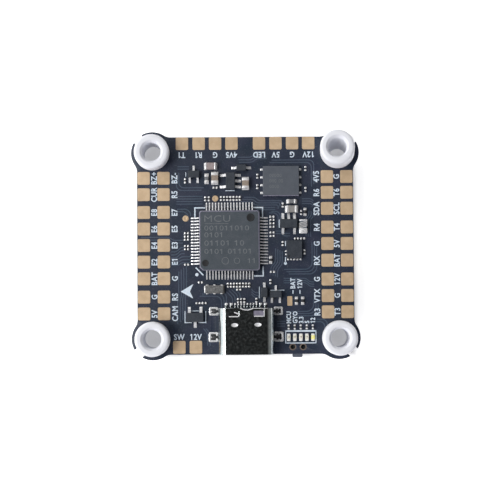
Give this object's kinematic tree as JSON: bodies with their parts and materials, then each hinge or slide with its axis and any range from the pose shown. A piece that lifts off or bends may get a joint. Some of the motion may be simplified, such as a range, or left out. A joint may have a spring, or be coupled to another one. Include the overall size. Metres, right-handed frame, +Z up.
{
  "type": "flight controller board",
  "caption": "Square flight controller board with soft silicone mounts in open ears, a side USB socket, a processor, chips and solder pads, and a sprung side-push boot button.",
  "frame": {"origin": "on the surface that the four grommets stand on, under the centre of the 30.5 mm mounting-hole square", "axes": "+Z up, out of the side that carries the processor; the USB socket opens along -Y; the craft's nose is towards -X"},
  "size_m": [0.0374, 0.0374, 0.008],
  "materials": {
    "board_mask": "semi-gloss solder mask with faint copper relief",
    "silicone": "matt translucent",
    "black_moulding": "fine matt epoxy",
    "usb_steel": "bright nickel plate",
    "tinned_metal": "tin plate",
    "solder": "bright solder",
    "gold_plate": "satin immersion gold",
    "silkscreen": "matt ink",
    "brown_ceramic": "fired ceramic",
    "black_ceramic": "glazed resistor film",
    "grey_ceramic": "fired ceramic",
    "lamp_resin": "clear to milky epoxy",
    "grey_plastic": "fine matt nylon",
    "white_plastic": "natural nylon",
    "ferrite": "pressed iron powder"
  },
  "bodies": {
    "board": {"barometer": "tinned_metal", "buck_regulator_1": "black_moulding", "buck_regulator_2": "black_moulding", "button_cover": "tinned_metal", "button_housing": "black_moulding", "button_spring": "tinned_metal", "capacitor_1": "brown_ceramic", "capacitor_2": "brown_ceramic", "capacitor_3": "brown_ceramic", "capacitor_4": "brown_ceramic", "capacitor_5": "brown_ceramic", "chip_inductor": "grey_ceramic", "circuit_board": "board_mask", "diode_1": "black_moulding", "diode_2": "black_moulding", "esc_connector_housing": "white_plastic", "esc_connector_pin_1": "tinned_metal", "esc_connector_pin_2": "tinned_metal", "esc_connector_pin_3": "tinned_metal", "esc_connector_pin_4": "tinned_metal", "esc_connector_pin_5": "tinned_metal", "esc_connector_pin_6": "tinned_metal", "esc_connector_pin_7": "tinned_metal", "esc_connector_pin_8": "tinned_metal", "grommet_front_left": "silicone", "grommet_front_right": "silicone", "grommet_rear_left": "silicone", "grommet_rear_right": "silicone", "jumper_resistor_1": "black_ceramic", "jumper_resistor_2": "black_ceramic", "memory_chip": "black_moulding", "microcontroller": "black_moulding", "motion_sensor": "black_moulding", "osd_chip": "black_moulding", "power_capacitor_1": "brown_ceramic", "power_capacitor_2": "brown_ceramic", "power_capacitor_3": "brown_ceramic", "power_capacitor_4": "brown_ceramic", "power_inductor_1": "ferrite", "power_inductor_2": "ferrite", "regulator_1": "black_moulding", "regulator_2": "black_moulding", "resistor_1": "black_ceramic", "resistor_2": "black_ceramic", "resonator": "grey_ceramic", "status_led_1": "lamp_resin", "status_led_2": "lamp_resin", "status_led_3": "lamp_resin", "status_led_4": "lamp_resin", "status_led_5": "lamp_resin", "transistor_1": "black_moulding", "transistor_2": "black_moulding", "transistor_3": "black_moulding", "usb_insulator": "black_moulding", "usb_shell": "usb_steel"},
    "button": {"button_actuator": "grey_plastic"}
  },
  "joints": [
    {"name": "button_press", "type": "slide", "parent": "board", "child": "button", "axis": [0, 1, 0], "range_m": [0, 0.00025], "stiffness_N_per_m": 4000, "deforming": ["button_spring"]}
  ]
}
